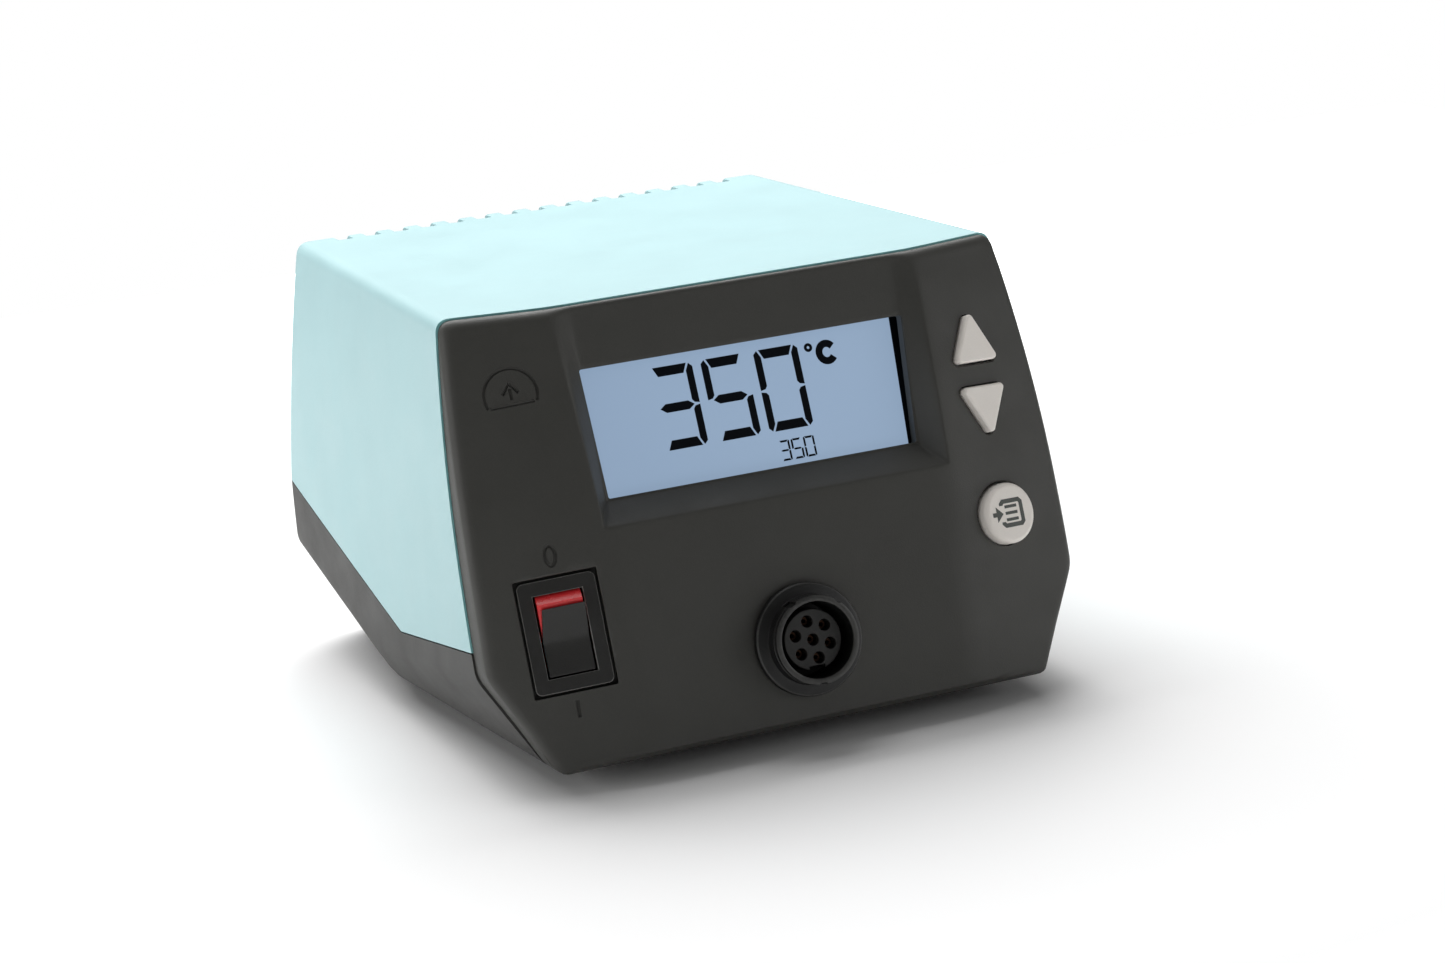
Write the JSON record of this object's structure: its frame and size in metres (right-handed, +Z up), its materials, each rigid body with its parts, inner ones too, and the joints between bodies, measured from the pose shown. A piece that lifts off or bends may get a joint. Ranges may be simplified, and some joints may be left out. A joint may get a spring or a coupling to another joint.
{
  "type": "soldering station control unit",
  "caption": "Desktop power and control unit of a soldering station, with a display, push buttons, a rocker switch, a round tool socket and a rear mains inlet.",
  "frame": {"origin": "bottom centre: the middle of the box around the unit, on the surface it stands on", "axes": "+Z up, the display front faces -Y, +X to the right of somebody who looks at the display"},
  "size_m": [0.1306, 0.1551, 0.0927],
  "materials": {
    "cover_plastic": "fine-textured aqua moulding",
    "shell_plastic": "fine-textured dark grey moulding",
    "panel_plastic": "fine-textured dark grey moulding",
    "black_plastic": "satin black moulding",
    "rocker_plastic": "red rocker with a black cap",
    "button_plastic": "warm light grey satin",
    "foot_rubber": "matt black rubber",
    "screw_steel": "zinc plated",
    "clamp_steel": "zinc plated sheet",
    "contact_brass": "plain brass",
    "pin_nickel": "nickel plated",
    "core_steel": "stacked varnished laminations",
    "bobbin_plastic": "natural nylon",
    "winding_wire": "enamelled copper wire under varnish",
    "board_green": "solder-masked glass fibre",
    "display_glass": "backlit liquid crystal display",
    "display_light": "white light box",
    "heat_sink_black": "black anodised extrusion",
    "capacitor_sleeve": "shrink sleeve with an aluminium top",
    "fuse_glass": "glass tube with metal caps",
    "lead_sleeve": "sleeved mains wiring",
    "ribbon_grey": "flat grey ribbon"
  },
  "bodies": {
    "housing": {"front_panel": "panel_plastic", "top_cover": "cover_plastic", "bottom_shell": "shell_plastic", "foot_1": "foot_rubber", "foot_2": "foot_rubber", "foot_3": "foot_rubber", "foot_4": "foot_rubber", "housing_screw_1": "screw_steel", "housing_screw_2": "screw_steel", "housing_screw_3": "screw_steel", "housing_screw_4": "screw_steel", "lcd_glass": "display_glass", "lcd_backlight": "display_light", "control_board": "board_green", "control_board_screw_1": "screw_steel", "control_board_screw_2": "screw_steel", "button_board": "board_green", "up_key_switch": "black_plastic", "down_key_switch": "black_plastic", "menu_key_switch": "black_plastic", "switch_housing": "black_plastic", "switch_terminal_1": "contact_brass", "switch_terminal_2": "contact_brass", "switch_terminal_3": "contact_brass", "switch_terminal_4": "contact_brass", "socket_shell": "black_plastic", "socket_insert": "black_plastic", "socket_nut": "pin_nickel", "socket_contact_1": "contact_brass", "socket_contact_2": "contact_brass", "socket_contact_3": "contact_brass", "socket_contact_4": "contact_brass", "socket_contact_5": "contact_brass", "socket_contact_6": "contact_brass", "socket_contact_7": "contact_brass", "transformer_core": "core_steel", "transformer_bobbin": "bobbin_plastic", "primary_winding": "winding_wire", "secondary_winding": "winding_wire", "transformer_clamp": "clamp_steel", "transformer_screw_1": "screw_steel", "transformer_screw_2": "screw_steel", "power_board": "board_green", "heat_sink": "heat_sink_black", "filter_capacitor": "capacitor_sleeve", "power_board_screw_1": "screw_steel", "power_board_screw_2": "screw_steel", "mains_inlet": "black_plastic", "bonding_jack": "pin_nickel", "inlet_pin_line": "pin_nickel", "inlet_pin_neutral": "pin_nickel", "inlet_pin_earth": "pin_nickel", "mains_lead": "lead_sleeve", "ribbon_cable": "ribbon_grey"},
    "up_button": {"up_button": "button_plastic"},
    "down_button": {"down_button": "button_plastic"},
    "menu_button": {"menu_button": "button_plastic"},
    "switch_rocker": {"switch_rocker": "rocker_plastic"},
    "fuse_drawer": {"fuse_drawer": "black_plastic", "fuse": "fuse_glass"}
  },
  "joints": [
    {"name": "up_button_press", "type": "slide", "parent": "housing", "child": "up_button", "axis": [-0.2205, 0.9342, -0.2803], "range_m": [0, 0.0008], "stiffness_N_per_m": 400},
    {"name": "down_button_press", "type": "slide", "parent": "housing", "child": "down_button", "axis": [-0.2205, 0.9342, -0.2803], "range_m": [0, 0.0008], "stiffness_N_per_m": 400},
    {"name": "menu_button_press", "type": "slide", "parent": "housing", "child": "menu_button", "axis": [-0.2205, 0.9342, -0.2803], "range_m": [0, 0.0008], "stiffness_N_per_m": 400},
    {"name": "power_rocker", "type": "hinge", "parent": "housing", "child": "switch_rocker", "pos_m": [-0.04758, -0.05875, 0.03023], "axis": [-0.9747, 0.217, -0.0532], "range_deg": [0, 22]},
    {"name": "fuse_drawer_slide", "type": "slide", "parent": "housing", "child": "fuse_drawer", "axis": [0, 1, 0], "range_m": [0, 0.018]}
  ]
}
